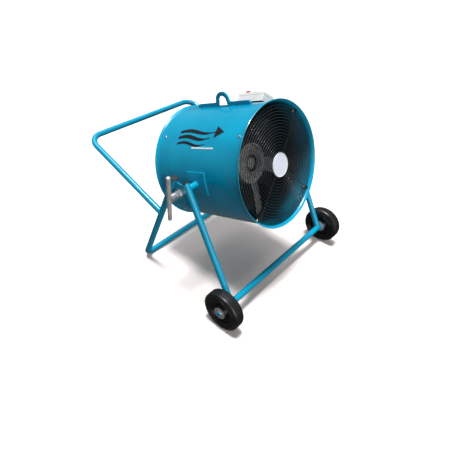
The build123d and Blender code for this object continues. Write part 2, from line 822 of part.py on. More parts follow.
def make_impeller_cover():
    """Front clamp plate of the hub, with radial ribs between raised rings."""
    with BuildPart() as impeller_cover:
        with BuildSketch(cross_plane(HUB_FRONT_S - 5)):
            Circle(HUB_R)
            Circle(HUB_BORE_R, mode=Mode.SUBTRACT)
        extrude(amount=5)
        with BuildSketch(cross_plane(HUB_FRONT_S)):
            with PolarLocations((HUB_R + HUB_BORE_R) / 2, 36):
                Rectangle(HUB_R - HUB_BORE_R - 2, 2.4)
            for radius in (HUB_BORE_R + 3, 70, HUB_R):
                with BuildSketch(mode=Mode.PRIVATE) as rib:
                    Circle(radius)
                    Circle(radius - 3, mode=Mode.SUBTRACT)
                add(rib.sketch)
        extrude(amount=3)
        with BuildSketch(cross_plane(HUB_FRONT_S)):
            with PolarLocations(HUB_BOLT_PITCH_R, 12, start_angle=BLADE_FIRST_ANGLE):
                Circle(8)
        extrude(amount=4)
    save(impeller_cover, "impeller_cover")


def make_impeller_bolts():
    with BuildPart() as impeller_bolts:
        with BuildSketch(cross_plane(HUB_FRONT_S + 4)):
            with PolarLocations(HUB_BOLT_PITCH_R, 12, start_angle=BLADE_FIRST_ANGLE):
                RegularPolygon(5, 6, major_radius=False)
        extrude(amount=4)
    save(impeller_bolts, "impeller_bolts")


def blade_plane(angle, radius):
    """Plane of one blade section: local x lies along the chord, towards the deep edge."""
    share = (radius - HUB_R) / (BLADE_TIP_R - HUB_R)
    lead = 6 * (1 - share)
    pitch = 31 - 5 * share
    mid_s = (HUB_FRONT_S + HUB_REAR_S) / 2 + 1
    return radial_plane(mid_s, angle + lead, radius).rotated((0, 0, 90 + pitch))


def make_impeller_blades():
    """Twisted blades whose roots sit on the hub rim and whose tips follow the bore."""
    stations = [88, 130, 180, 235, BLADE_TIP_R + 4]
    with BuildPart() as impeller_blades:
        for index in range(BLADE_COUNT):
            angle = BLADE_FIRST_ANGLE + index * 360 / BLADE_COUNT
            for radius in stations:
                chord = 96 + 0.09 * (radius - HUB_R)
                with BuildSketch(blade_plane(angle, radius)):
                    with BuildLine():
                        upper = ThreePointArc((-chord / 2, 0), (0, BLADE_T * 1.6), (chord / 2, 0))
                        ThreePointArc(upper @ 1, (0, BLADE_T * 0.6), upper @ 0)
                    make_face()
            loft()
        with BuildSketch(cross_plane(-DRUM_L)):
            Circle(HUB_R)
        extrude(amount=DRUM_L, mode=Mode.SUBTRACT)
        with BuildSketch(cross_plane(-DRUM_L)):
            Circle(BLADE_TIP_R)
        extrude(amount=DRUM_L, mode=Mode.INTERSECT)
    save(impeller_blades, "impeller_blades")


def make_motor_shaft():
    with BuildPart() as motor_shaft:
        with BuildSketch(cross_plane(MOTOR_REAR_S - BEARING_L + 2)):
            Circle(SHAFT_R)
        extrude(amount=HUB_FRONT_S - 1 - MOTOR_REAR_S + BEARING_L - 2)
    save(motor_shaft, "motor_shaft")


def make_shaft_end_bolt():
    with BuildPart() as shaft_end_bolt:
        with BuildSketch(cross_plane(HUB_FRONT_S - 1)):
            Circle(23)
        extrude(amount=4)
        with BuildSketch(cross_plane(HUB_FRONT_S + 3)):
            RegularPolygon(9.5, 6, major_radius=False)
        extrude(amount=9)
    save(shaft_end_bolt, "shaft_end_bolt")


# ---------------------------------------------------------------- control box


def box_plane(height, along=0, round_it=0):
    """Plane over the control box's seat: local x is s, local y runs round the drum."""
    seat = radial_plane(BOX_S, BOX_ANGLE, BOX_SEAT_R + height)
    return Plane(
        origin=seat.origin + seat.x_dir * along + seat.y_dir * round_it,
        x_dir=seat.x_dir,
        z_dir=seat.z_dir,
    )


def make_box_saddle():
    """Open frame between the barrel and the control box."""
    with BuildPart() as box_saddle:
        with BuildSketch(box_plane(0)):
            Rectangle(BOX_L + 4, BOX_W - 4)
            Rectangle(BOX_L - 16, BOX_W - 24, mode=Mode.SUBTRACT)
        extrude(amount=-30)
        with BuildSketch(cross_plane(-DRUM_L)):
            Circle(BARREL_R)
        extrude(amount=DRUM_L, mode=Mode.SUBTRACT)
    save(box_saddle, "box_saddle")


def make_control_box_base():
    """Lower half of the box, with screw posts, the conduit hole and the cable hole."""
    height = BOX_H - BOX_LID_H - SEAL_T
    with BuildPart() as control_box_base:
        with BuildSketch(box_plane(0)):
            RectangleRounded(BOX_L, BOX_W, 3)
        extrude(amount=height)
        with BuildSketch(box_plane(BOX_WALL)):
            RectangleRounded(BOX_L - 2 * BOX_WALL, BOX_W - 2 * BOX_WALL, 2)
        extrude(amount=height, mode=Mode.SUBTRACT)
        with BuildSketch(box_plane(BOX_WALL)):
            with GridLocations(BOX_L - 14, BOX_W - 14, 2, 2):
                Circle(5)
        extrude(amount=height - BOX_WALL)
        with BuildSketch(box_plane(height)):
            with GridLocations(BOX_L - 14, BOX_W - 14, 2, 2):
                Circle(2)
        extrude(amount=-14, mode=Mode.SUBTRACT)
        with BuildSketch(box_plane(0, CONDUIT_S - BOX_S)):
            Circle(CONDUIT_R)
        extrude(amount=BOX_WALL, mode=Mode.SUBTRACT)
        with BuildSketch(box_side_plane(GLAND_S, GLAND_H)):
            Circle(GLAND_BORE_R)
        extrude(amount=-BOX_WALL, mode=Mode.SUBTRACT)
    save(control_box_base, "control_box_base")


def make_control_box_seal():
    with BuildPart() as control_box_seal:
        with BuildSketch(box_plane(BOX_H - BOX_LID_H - SEAL_T)):
            RectangleRounded(BOX_L, BOX_W, 3)
            RectangleRounded(BOX_L - 2 * BOX_WALL, BOX_W - 2 * BOX_WALL, 2, mode=Mode.SUBTRACT)
        extrude(amount=SEAL_T)
    save(control_box_seal, "control_box_seal")


def make_control_box_lid():
    with BuildPart() as control_box_lid:
        with BuildSketch(box_plane(BOX_H - BOX_LID_H)):
            RectangleRounded(BOX_L, BOX_W, 3)
        extrude(amount=BOX_LID_H)
        with BuildSketch(box_plane(BOX_H - BOX_LID_H)):
            RectangleRounded(BOX_L - 2 * BOX_WALL, BOX_W - 2 * BOX_WALL, 2)
        extrude(amount=BOX_LID_H - BOX_WALL, mode=Mode.SUBTRACT)
        with BuildSketch(box_plane(BOX_H - BOX_LID_H)):
            with GridLocations(BOX_L - 14, BOX_W - 14, 2, 2):
                Circle(5)
        extrude(amount=BOX_LID_H - BOX_WALL)
        with BuildSketch(box_plane(BOX_H)):
            with GridLocations(BOX_L - 14, BOX_W - 14, 2, 2):
                Circle(2.2)
        extrude(amount=-BOX_LID_H, mode=Mode.SUBTRACT)
        with BuildSketch(box_plane(BOX_H, KNOB_S, KNOB_ROUND)):
            Circle(6.5)
        extrude(amount=-BOX_WALL, mode=Mode.SUBTRACT)
        chamfer(control_box_lid.faces().sort_by(Axis(RIM_CENTRE, outward(BOX_ANGLE)))[-1].edges()
                .filter_by(GeomType.LINE), length=1)
    save(control_box_lid, "control_box_lid")


def make_control_box_screws():
    with BuildPart() as control_box_screws:
        with BuildSketch(box_plane(BOX_H - BOX_LID_H - 12)):
            with GridLocations(BOX_L - 14, BOX_W - 14, 2, 2):
                Circle(1.95)
        extrude(amount=BOX_LID_H + 12)
        with BuildSketch(box_plane(BOX_H)):
            with GridLocations(BOX_L - 14, BOX_W - 14, 2, 2):
                Circle(4)
        extrude(amount=2.4)
    save(control_box_screws, "control_box_screws")


def box_end_plane(along, height, round_it=0):
    """Plane across the control box, facing the drum's rear."""
    seat = box_plane(height, along, round_it)
    return Plane(origin=seat.origin, x_dir=seat.z_dir, z_dir=-FORWARD)


def box_side_plane(along, height):
    """Plane on the control box's long side that faces down the left of the drum."""
    seat = box_plane(height, along, BOX_W / 2)
    return Plane(origin=seat.origin, x_dir=seat.x_dir, z_dir=seat.y_dir)


def make_supply_gland():
    """Cable gland on the lower side of the box, for the supply lead."""
    end = box_side_plane(GLAND_S, GLAND_H)
    with BuildPart() as supply_gland:
        with BuildSketch(end):
            RegularPolygon(13, 6, major_radius=False)
        extrude(amount=7)
        with BuildSketch(end.offset(7)):
            Circle(11)
        extrude(amount=14, taper=6)
        with BuildSketch(end):
            Circle(GLAND_BORE_R)
        extrude(amount=21, mode=Mode.SUBTRACT)
    save(supply_gland, "supply_gland")


def make_isolator_body():
    """Rotary switch body under the lid, with its neck in the lid's hole."""
    with BuildPart() as isolator_body:
        with BuildSketch(box_plane(10, KNOB_S, KNOB_ROUND)):
            RectangleRounded(40, 34, 3)
        extrude(amount=BOX_H - BOX_WALL - 10)
        with BuildSketch(box_plane(BOX_H - BOX_WALL, KNOB_S, KNOB_ROUND)):
            Circle(6.45)
        extrude(amount=BOX_WALL)
    save(isolator_body, "isolator_body")


def make_run_capacitor():
    with BuildPart() as run_capacitor:
        with BuildSketch(box_end_plane(64, 20)):
            Circle(16)
        extrude(amount=58)
        chamfer(run_capacitor.faces().sort_by(Axis(RIM_CENTRE, FORWARD))[-1].edges(), length=1.5)
    save(run_capacitor, "run_capacitor")


def make_terminal_block():
    """Screw terminal block on the box floor."""
    with BuildPart() as terminal_block:
        with BuildSketch(box_plane(BOX_WALL, -34, 24)):
            Rectangle(56, 18)
        extrude(amount=14)
        with BuildSketch(box_plane(BOX_WALL + 14, -34, 24)):
            with GridLocations(11, 8, 5, 2):
                Circle(2.2)
        extrude(amount=-8, mode=Mode.SUBTRACT)
    save(terminal_block, "terminal_block")


def make_switch_knob():
    """Rotary knob with a grip bar."""
    with BuildPart() as switch_knob:
        with BuildSketch(box_plane(BOX_H + GAP, KNOB_S, KNOB_ROUND)):
            Circle(16)
        extrude(amount=5, taper=8)
        with BuildSketch(box_plane(BOX_H + GAP + 5, KNOB_S, KNOB_ROUND)):
            RectangleRounded(28, 9, 3)
        extrude(amount=11, taper=5)
    save(switch_knob, "switch_knob")


# ---------------------------------------------------------------- pivot hardware and clamp


def make_pivot_bolt():
    """Plain pivot bolt of the left side, with its head outside the washer."""
    head_y = PLATE_OUTER_Y + GAP + WASHER_T
    with BuildPart() as pivot_bolt:
        with BuildSketch(pivot_plane(SCREW_TIP_Y, SIDES["left"])):
            Circle(SCREW_R)
        extrude(amount=head_y - SCREW_TIP_Y)
        with BuildSketch(pivot_plane(head_y, SIDES["left"])):
            RegularPolygon(15, 6, major_radius=False)
        extrude(amount=12.5)
        chamfer(pivot_bolt.faces().sort_by(Axis.Y)[-1].edges(), length=1.2)
    save(pivot_bolt, "pivot_bolt")


def make_pivot_washer(name, side):
    with BuildPart() as washer:
        with BuildSketch(pivot_plane(PLATE_OUTER_Y + GAP, side)):
            Circle(WASHER_R)
            Circle(SCREW_R + FIT, mode=Mode.SUBTRACT)
        extrude(amount=WASHER_T)
    save(washer, name)


def make_clamp_screw():
    with BuildPart() as clamp_screw:
        with BuildSketch(pivot_plane(SCREW_TIP_Y, SIDES["right"])):
            Circle(SCREW_R)
        extrude(amount=COLLAR_FROM_Y + 8 - SCREW_TIP_Y)
    save(clamp_screw, "clamp_screw")


def make_clamp_nut():
    """Hex shoulder nut fixed on the screw, which presses on the washer."""
    start = PLATE_OUTER_Y + GAP + WASHER_T + GAP
    with BuildPart() as clamp_nut:
        with BuildSketch(pivot_plane(start, SIDES["right"])):
            RegularPolygon(NUT_AF / 2, 6, major_radius=False)
            Circle(SCREW_R, mode=Mode.SUBTRACT)
        extrude(amount=NUT_L)
        ends = clamp_nut.faces().filter_by(Axis.Y)
        chamfer(ends.edges().filter_by(GeomType.LINE), length=1.5)
    save(clamp_nut, "clamp_nut")


def make_clamp_collar():
    """Socket that joins the screw to the cross bar."""
    with BuildPart() as clamp_collar:
        with BuildSketch(pivot_plane(COLLAR_FROM_Y, SIDES["right"])):
            Circle(COLLAR_R)
        extrude(amount=T_BAR_Y - COLLAR_FROM_Y)
        with BuildSketch(pivot_plane(COLLAR_FROM_Y, SIDES["right"])):
            Circle(SCREW_R)
        extrude(amount=8, mode=Mode.SUBTRACT)
        bar = Plane(origin=PIVOT_POINT - LEFT * T_BAR_Y - Vector(0, 0, T_BAR_L / 2), z_dir=(0, 0, 1))
        with BuildSketch(bar):
            Circle(T_BAR_R)
        extrude(amount=T_BAR_L, mode=Mode.SUBTRACT)
        chamfer(clamp_collar.faces().sort_by(Axis.Y)[-1].edges(), length=1)
    save(clamp_collar, "clamp_collar")


def make_clamp_t_bar():
    """Round cross bar with rounded ends, upright when the clamp is tight."""
    bar = Plane(origin=PIVOT_POINT - LEFT * T_BAR_Y - Vector(0, 0, T_BAR_L / 2), z_dir=(0, 0, 1))
    with BuildPart() as clamp_t_bar:
        with BuildSketch(bar):
            Circle(T_BAR_R)
        extrude(amount=T_BAR_L)
        fillet(clamp_t_bar.edges().filter_by(GeomType.CIRCLE), radius=T_BAR_R - 3)
    save(clamp_t_bar, "clamp_t_bar")


for side_name, side_sign in SIDES.items():
    make_front_leg(side_name, side_sign)
    make_gusset_plate(side_name, side_sign)
    make_tyre(side_name, side_sign)
    make_wheel_rim(side_name, side_sign)
    make_wheel_hub(side_name, side_sign)
    make_pivot_boss(side_name, side_sign)

make_axle_cross_tube()
make_rear_leg_hoop()
make_push_handle()
make_leg_end_plugs()
make_axle_stubs()
make_axle_washers()
make_axle_circlips()

make_drum_shell()
make_pivot_pads()
make_lifting_lug()
make_guard("front_guard", GUARD_S, 1)
make_guard("rear_guard", REAR_GUARD_S, -1)
make_guard_badge()
make_guard_screws()
make_guard_nuts()

make_motor_housing()
make_motor_bell("motor_bell_front", MOTOR_FRONT_S, 1)
make_motor_bell("motor_bell_rear", MOTOR_REAR_S, -1)
make_motor_bearings()
make_motor_arms()
make_motor_bolts()
make_motor_terminal_box()
make_lead_conduit()
make_axial_ring("stator_core", MOTOR_REAR_S + 26, MOTOR_FRONT_S - 26, MOTOR_BORE_R, ROTOR_R + 0.5)
make_axial_ring("rotor_core", MOTOR_REAR_S + 26, MOTOR_FRONT_S - 26, ROTOR_R, SHAFT_R)

make_impeller_hub()
make_impeller_cover()
make_impeller_bolts()
make_impeller_blades()
make_motor_shaft()
make_shaft_end_bolt()

make_box_saddle()
make_control_box_base()
make_control_box_seal()
make_control_box_lid()
make_control_box_screws()
make_supply_gland()
make_isolator_body()
make_run_capacitor()
make_terminal_block()
make_switch_knob()

make_pivot_bolt()
make_pivot_washer("pivot_washer", SIDES["left"])
make_pivot_washer("clamp_washer", SIDES["right"])
make_clamp_screw()
make_clamp_nut()
make_clamp_collar()
make_clamp_t_bar()
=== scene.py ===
"""Looks of the portable drum fan: materials, welds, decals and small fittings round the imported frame."""

import json
import math

import bpy
from mathutils import Matrix, Vector

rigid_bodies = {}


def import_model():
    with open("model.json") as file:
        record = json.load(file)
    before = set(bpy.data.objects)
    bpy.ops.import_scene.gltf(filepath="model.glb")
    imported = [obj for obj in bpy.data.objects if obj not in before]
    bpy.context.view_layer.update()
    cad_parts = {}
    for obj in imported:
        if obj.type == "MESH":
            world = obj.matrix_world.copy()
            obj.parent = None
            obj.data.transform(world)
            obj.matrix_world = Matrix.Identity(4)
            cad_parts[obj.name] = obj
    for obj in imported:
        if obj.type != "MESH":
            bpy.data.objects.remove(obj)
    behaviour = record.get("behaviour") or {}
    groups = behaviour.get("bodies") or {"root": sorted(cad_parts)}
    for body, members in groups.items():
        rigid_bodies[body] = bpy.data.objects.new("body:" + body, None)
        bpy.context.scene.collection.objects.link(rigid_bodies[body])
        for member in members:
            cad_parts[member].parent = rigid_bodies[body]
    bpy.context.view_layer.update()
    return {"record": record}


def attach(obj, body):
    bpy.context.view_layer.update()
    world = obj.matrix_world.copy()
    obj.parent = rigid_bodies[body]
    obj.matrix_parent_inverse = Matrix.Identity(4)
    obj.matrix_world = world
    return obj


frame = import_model()

# ------------------------------------------------------------------ the frame's own geometry

JOINTS = {joint["name"]: joint for joint in frame["record"]["behaviour"]["joints"]}
PIVOT = Vector(JOINTS["drum_tilt"]["pos_m"])
FORWARD = Vector(JOINTS["impeller_spin"]["axis"]).normalized()
AXLE = Vector(JOINTS["wheel_left_spin"]["pos_m"])
LEFT = Vector((0, 1, 0))
DRUM_UP = FORWARD.cross(LEFT)
RIM = PIVOT + FORWARD * 0.292
SIDES = (1, -1)
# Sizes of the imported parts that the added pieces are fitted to, in metres. Places along the drum
# are measured from the front rim, and are negative towards the intake.
TUBE_R = 0.01685
TYRE_W = 0.068
TREAD_WORN_FROM, TREAD_WORN_FULLY = 0.1052, 0.1068
BARREL_R = 0.303
PAINTED_SHADE_FULL_R, PAINTED_SHADE_NONE_R = 0.3018, 0.3024
PAD_FRONT, PAD_REAR = -0.225, -0.351
PAD_LOW, PAD_HIGH = -0.0555, 0.0615
PAD_R = 0.309
BOSS_SEAM_R = 0.0172
LUG_HALF = 0.0066
LUG_RUNS = ((-0.466, -0.385), (-0.37, -0.21), (-0.195, -0.114))
ARM_ENDS = (-0.408, -0.322)
ARM_FOOT_R, ARM_HALF = 0.2996, 0.0034
SEAM_ANGLE, SEAM_ENDS = 262, (-0.568, -0.024)
GUARD_ANGLES = (45, 135, 225, 315)
GUARD_ENDS = ((-0.014, 1), (-0.569, -1))
GUARD_SCREWS = (-0.032, -0.551)
GUARD_PEAK = 0.009
GUARD_EDGE_R = 0.30035
ROD_TOP = 0.0022
RING_COUNT, RING_FIRST_R, RING_STEP = 16, 0.068, 0.0144


def drum_point(s, angle, radius):
    """Point on the drum: s forward from the front rim, angle in degrees from the left to the top."""
    return RIM + FORWARD * s + drum_out(angle) * radius


def drum_out(angle):
    """Direction straight out of the drum's axis at an angle."""
    turn = math.radians(angle)
    return LEFT * math.cos(turn) + DRUM_UP * math.sin(turn)


# ------------------------------------------------------------------ camera, floor and light

scene = bpy.context.scene

camera_data = bpy.data.cameras.new("camera")
camera_data.sensor_width = 36
camera_data.lens = 32.008
camera_data.shift_x = 0.0565
camera_data.shift_y = -0.0365
camera_data.clip_end = 100
camera = bpy.data.objects.new("camera", camera_data)
right = Vector((0.72328, 0.69051, 0.00788)).normalized()
back = Vector((0.55166, -0.58463, 0.59488)).normalized()
up = back.cross(right).normalized()
right = up.cross(back).normalized()
turn = Matrix((right, up, back)).transposed().to_4x4()
camera.matrix_world = Matrix.Translation((1.3097, -1.5033, 1.6878)) @ turn
scene.collection.objects.link(camera)
scene.camera = camera
scene.view_settings.view_transform = "Standard"


def link_mesh(name, verts, faces, smooth=True):
    mesh = bpy.data.meshes.new(name)
    mesh.from_pydata([tuple(v) for v in verts], [], faces)
    mesh.validate()
    mesh.shade_smooth() if smooth else mesh.shade_flat()
    piece = bpy.data.objects.new(name, mesh)
    scene.collection.objects.link(piece)
    return piece


def sun(name, towards, strength, spread):
    """Sun that shines from the given direction, as soft as spread degrees."""
    data = bpy.data.lights.new(name, "SUN")
    data.energy = strength
    data.angle = math.radians(spread)
    light = bpy.data.objects.new(name, data)
    light.rotation_euler = Vector(towards).to_track_quat("Z", "Y").to_euler()
    scene.collection.objects.link(light)


sun("overhead_key", (-0.05, 0.0, 1.0), 3.85, 14)
sun("rear_wash", (-0.3, 0.2, 0.93), 1.05, 50)
sun("front_fill", (0.97, -0.3, 0.36), 1.45, 40)

# ------------------------------------------------------------------ node helpers


class Nodes:
    """Short calls for building one material's node tree."""

    def __init__(self, material):
        self.material = material
        self.material.use_nodes = True
        self.tree = self.material.node_tree
        self.shader = self.tree.nodes["Principled BSDF"]

    def add(self, kind, **values):
        node = self.tree.nodes.new(kind)
        for key, value in values.items():
            setattr(node, key, value)
        return node

    def link(self, start, end):
        self.tree.links.new(start, end)

    def noise(self, scale, detail=3, stretch=None):
        place = self.add("ShaderNodeTexCoord").outputs["Object"]
        if stretch:
            mapping = self.add("ShaderNodeMapping")
            mapping.inputs["Scale"].default_value = stretch
            self.link(place, mapping.inputs["Vector"])
            place = mapping.outputs["Vector"]
        node = self.add("ShaderNodeTexNoise")
        node.inputs["Scale"].default_value = scale
        node.inputs["Detail"].default_value = detail
        self.link(place, node.inputs["Vector"])
        return node.outputs["Fac"]

    def ramp(self, value, stops):
        node = self.add("ShaderNodeValToRGB")
        elements = node.color_ramp.elements
        while len(elements) < len(stops):
            elements.new(0.5)
        for element, (place, colour) in zip(elements, stops):
            element.position = place
            element.color = (*colour, 1)
        self.link(value, node.inputs["Fac"])
        return node.outputs["Color"]

    def spread(self, value, low, high, start=0.0, end=1.0):
        node = self.add("ShaderNodeMapRange")
        node.inputs["From Min"].default_value = start
        node.inputs["From Max"].default_value = end
        node.inputs["To Min"].default_value = low
        node.inputs["To Max"].default_value = high
        self.link(value, node.inputs["Value"])
        return node.outputs["Result"]

    def bump(self, height, strength, distance):
        node = self.add("ShaderNodeBump")
        node.inputs["Strength"].default_value = strength
        node.inputs["Distance"].default_value = distance
        self.link(height, node.inputs["Height"])
        return node.outputs["Normal"]

    def from_point(self, point):
        place = self.add("ShaderNodeTexCoord").outputs["Object"]
        offset = self.add("ShaderNodeVectorMath", operation="SUBTRACT")
        offset.inputs[1].default_value = point
        self.link(place, offset.inputs[0])
        return offset.outputs[0]

    def off_axis(self, point, axis):
        """Distance of the surface from an axis."""
        across = self.add("ShaderNodeVectorMath", operation="CROSS_PRODUCT")
        across.inputs[1].default_value = axis
        self.link(self.from_point(point), across.inputs[0])
        length = self.add("ShaderNodeVectorMath", operation="LENGTH")
        self.link(across.outputs[0], length.inputs[0])
        return length.outputs["Value"]

    def distance_along(self, point, axis):
        """Distance of the surface from a point, measured along an axis, either way."""
        along = self.add("ShaderNodeVectorMath", operation="DOT_PRODUCT")
        along.inputs[1].default_value = axis
        self.link(self.from_point(point), along.inputs[0])
        distance = self.add("ShaderNodeMath", operation="ABSOLUTE")
        self.link(along.outputs["Value"], distance.inputs[0])
        return distance.outputs[0]

    def over_base(self, mask, colour):
        """Lay one colour over the base colour where the mask is 1."""
        base = self.shader.inputs["Base Color"]
        mix = self.add("ShaderNodeMix", data_type="RGBA")
        self.link(mask, mix.inputs["Factor"])
        self.link(base.links[0].from_socket, mix.inputs[6])
        mix.inputs[7].default_value = (*colour, 1)
        self.link(mix.outputs[2], base)

    def set(self, **values):
        for key, value in values.items():
            self.shader.inputs[key.replace("_", " ")].default_value = value


def tinted(colour, factor):
    return tuple(min(1.0, channel * factor) for channel in colour)


def paint(name, colour, rough=0.28, coat=0.5, grain=650, dirt=0.12):
    """Sprayed enamel: soft drift of colour and gloss, and a faint orange-peel bump."""
    nodes = Nodes(bpy.data.materials.new(name))
    drift = nodes.noise(7, 4)
    tone = nodes.ramp(drift, [(0.3, tinted(colour, 1 - dirt)), (0.7, tinted(colour, 1 + dirt))])
    nodes.link(tone, nodes.shader.inputs["Base Color"])
    film = nodes.noise(9, 2)
    nodes.link(nodes.spread(film, rough - 0.03, rough + 0.05), nodes.shader.inputs["Roughness"])
    peel = nodes.noise(grain, 2)
    nodes.link(nodes.bump(peel, 0.012, 0.0001), nodes.shader.inputs["Normal"])
    nodes.set(Coat_Weight=coat, Coat_Roughness=0.06, Specular_IOR_Level=0.35)
    return nodes.material


def barrel_paint(name, colour, inside):
    """The enamel outside and on the rims, with painted shade inside the barrel that fades out towards both
    mouths.
    """
    material = paint(name, colour, 0.27, 0.5)
    nodes = Nodes(material)
    # Painted shade: full on the inner surface in the middle of the barrel, none on the outside, fading out
    # towards the mouths.
    inner = nodes.spread(nodes.off_axis(PIVOT, FORWARD), 1.0, 0.0, PAINTED_SHADE_FULL_R, PAINTED_SHADE_NONE_R)
    deep = nodes.spread(nodes.distance_along(PIVOT, FORWARD), 1.0, 0.0, 0.16, 0.285)
    both = nodes.add("ShaderNodeMath", operation="MULTIPLY")
    nodes.link(inner, both.inputs[0])
    nodes.link(deep, both.inputs[1])
    nodes.over_base(both.outputs[0], inside)
    return material


def metal(name, colour, rough, stretch=None, grain=900, blotch=0.12, strength=0.12, bare=0.5):
    """Bare or plated metal: tonal blotches, a grain that may run one way, bare as its metallic share."""
    nodes = Nodes(bpy.data.materials.new(name))
    cloud = nodes.noise(60, 5)
    tone = nodes.ramp(cloud, [(0.3, tinted(colour, 1 - blotch)), (0.7, tinted(colour, 1 + blotch))])
    nodes.link(tone, nodes.shader.inputs["Base Color"])
    grain_value = nodes.noise(grain, 4, stretch)
    nodes.link(nodes.spread(grain_value, rough - 0.1, rough + 0.12), nodes.shader.inputs["Roughness"])
    nodes.link(nodes.bump(grain_value, strength, 0.0003), nodes.shader.inputs["Normal"])
    nodes.set(Metallic=bare)
    return nodes.material


def plastic(name, colour, rough, grain=1400, strength=0.15, coat=0.0, drift=0.06):
    """Moulded plastic with a fine spark-eroded texture."""
    nodes = Nodes(bpy.data.materials.new(name))
    cloud = nodes.noise(22, 3)
    tone = nodes.ramp(cloud, [(0.3, tinted(colour, 1 - drift)), (0.7, tinted(colour, 1 + drift))])
    nodes.link(tone, nodes.shader.inputs["Base Color"])
    texture = nodes.noise(grain, 3)
    nodes.link(nodes.spread(texture, rough - 0.06, rough + 0.06), nodes.shader.inputs["Roughness"])
    nodes.link(nodes.bump(texture, strength, 0.0002), nodes.shader.inputs["Normal"])
    nodes.set(Coat_Weight=coat)
    return nodes.material


def rubber(name, colour, rough):
    """Rubber with scuffed, dusty patches."""
    nodes = Nodes(bpy.data.materials.new(name))
    dust = nodes.noise(34, 6)
    tone = nodes.ramp(dust, [(0.45, colour), (0.85, tuple(channel + 0.018 for channel in colour))])
    nodes.link(tone, nodes.shader.inputs["Base Color"])
    nodes.link(nodes.spread(dust, rough - 0.08, rough + 0.1), nodes.shader.inputs["Roughness"])
    nodes.link(nodes.bump(nodes.noise(800, 4), 0.25, 0.0003), nodes.shader.inputs["Normal"])
    return nodes.material


def tyre_rubber(name, colour, worn, rough):
    """Rubber that is scuffed paler where the tread runs on the ground."""
    material = rubber(name, colour, rough)
    nodes = Nodes(material)
    radius = nodes.off_axis(AXLE, LEFT)
    nodes.over_base(nodes.spread(radius, 0.0, 1.0, TREAD_WORN_FROM, TREAD_WORN_FULLY), worn)
    return material


# ------------------------------------------------------------------ materials

BLUE = (0.0004, 0.305, 0.495)
MATERIALS = {
    "blue_paint": paint("blue_enamel", BLUE, 0.3, 0.35),
    "black_wire": paint("black_powder_coat", (0.020, 0.021, 0.023), 0.38, 0.2, 900, 0.2),
    # Near-black bracket under the control box: partly its own black, partly painted shade of the gap
    # between the box and the drum.
    "dark_bracket": paint("bracket_black_and_gap_shade", (0.006, 0.009, 0.012), 0.4, 0.2, 900, 0.15),
    "motor_grey": paint("motor_paint", (0.06, 0.07, 0.08), 0.45, 0.1, 500, 0.2),
    "zinc_steel": metal("zinc_plate", (0.72, 0.73, 0.74), 0.24, bare=0.8),
    "galvanised_steel": metal("dull_galvanised", (0.60, 0.60, 0.58), 0.42, None, 220, 0.2, 0.2, 0.35),
    "bearing_steel": metal("machined_steel", (0.74, 0.74, 0.72), 0.3, (1, 14, 1), bare=0.8),
    "cast_aluminium": metal("cast_aluminium", (0.36, 0.35, 0.34), 0.5, None, 420, 0.35, 0.35, 0.3),
    "tyre_rubber": tyre_rubber("tyre_rubber", (0.0045, 0.0045, 0.005), (0.015, 0.015, 0.017), 0.36),
    "seal_rubber": rubber("seal_rubber", (0.30, 0.30, 0.30), 0.65),
    "black_rim": plastic("black_rim_plastic", (0.007, 0.007, 0.008), 0.4),
    "black_plastic": plastic("black_moulding", (0.010, 0.011, 0.012), 0.42),
    "grey_plastic": plastic("pale_grey_moulding", (0.80, 0.765, 0.74), 0.4),
    "white_plastic": plastic("white_moulding", (0.78, 0.78, 0.75), 0.4),
    "badge_plastic": plastic("badge_plate", (0.80, 0.86, 0.96), 0.3, 1400, 0.03, 0.4, 0.02),
    "red_plastic": plastic("red_knob", (0.42, 0.012, 0.012), 0.3, 1400, 0.05, 0.3),
}
DECAL = plastic("decal_film", (0.004, 0.005, 0.009), 0.55, 1600, 0.02, 0.0, 0.1)

OWN_MATERIAL = {
    # The last colour is painted shade for the inside of the barrel.
    "drum_shell": barrel_paint("barrel_enamel", BLUE, (0.006, 0.024, 0.032)),
    # Blades in a darker grey metal than the hub's cast aluminium.
    "impeller_blades": metal("darker_blade_metal", (0.20, 0.20, 0.20), 0.45, None, 420, 0.35, 0.3, 0.25),
    "clamp_collar": MATERIALS["zinc_steel"],
    "motor_arms": paint("shaded_arm_paint", (0.004, 0.03, 0.045), 0.4, 0.2),
}
for row in frame["record"]["subparts"]:
    node = bpy.data.objects[row["node"]]
    node.data.materials.clear()
    node.data.materials.append(OWN_MATERIAL.get(row["node"]) or MATERIALS[row["material_slot"]])


def dress(piece, body, slot, material=None):
    """Give a new piece its body and a material: the one given, else the one of a record slot."""
    piece.data.materials.append(material or MATERIALS[slot])
    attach(piece, body)


# ------------------------------------------------------------------ mesh helpers


def swept_rings(paths, radius_at, sides=8):
    """Verts and faces of round tubes along point paths; radius_at(path index, distance) in metres."""
    verts, faces = [], []
    for index, (points, closed) in enumerate(paths):
        start = len(verts)
        count = len(points)
        distance = 0.0
        for i, point in enumerate(points):
            before = points[i - 1] if (i or closed) else point
            after = points[(i + 1) % count] if (i < count - 1 or closed) else point
            along = (after - before).normalized()
            side = along.cross(Vector((0.31, 0.57, 0.76))).normalized()
            over = along.cross(side)
            if i:
                distance += (point - points[i - 1]).length
            radius = radius_at(index, distance)
            for k in range(sides):
                turn = 2 * math.pi * k / sides
                verts.append(point + (side * math.cos(turn) + over * math.sin(turn)) * radius)
        rounds = count if closed else count - 1
        for i in range(rounds):
            low, high = start + i * sides, start + ((i + 1) % count) * sides
            for k in range(sides):
                n = (k + 1) % sides
                faces.append((low + k, low + n, high + n, high + k))
        if not closed:
            faces.append(tuple(start + k for k in reversed(range(sides))))
            faces.append(tuple(start + (count - 1) * sides + k for k in range(sides)))
    return verts, faces


def divided(start, end, step=0.0022):
    """Points about every step along a straight run, both ends included."""
    count = max(1, round((end - start).length / step))
    return [start.lerp(end, i / count) for i in range(count)] + [end]


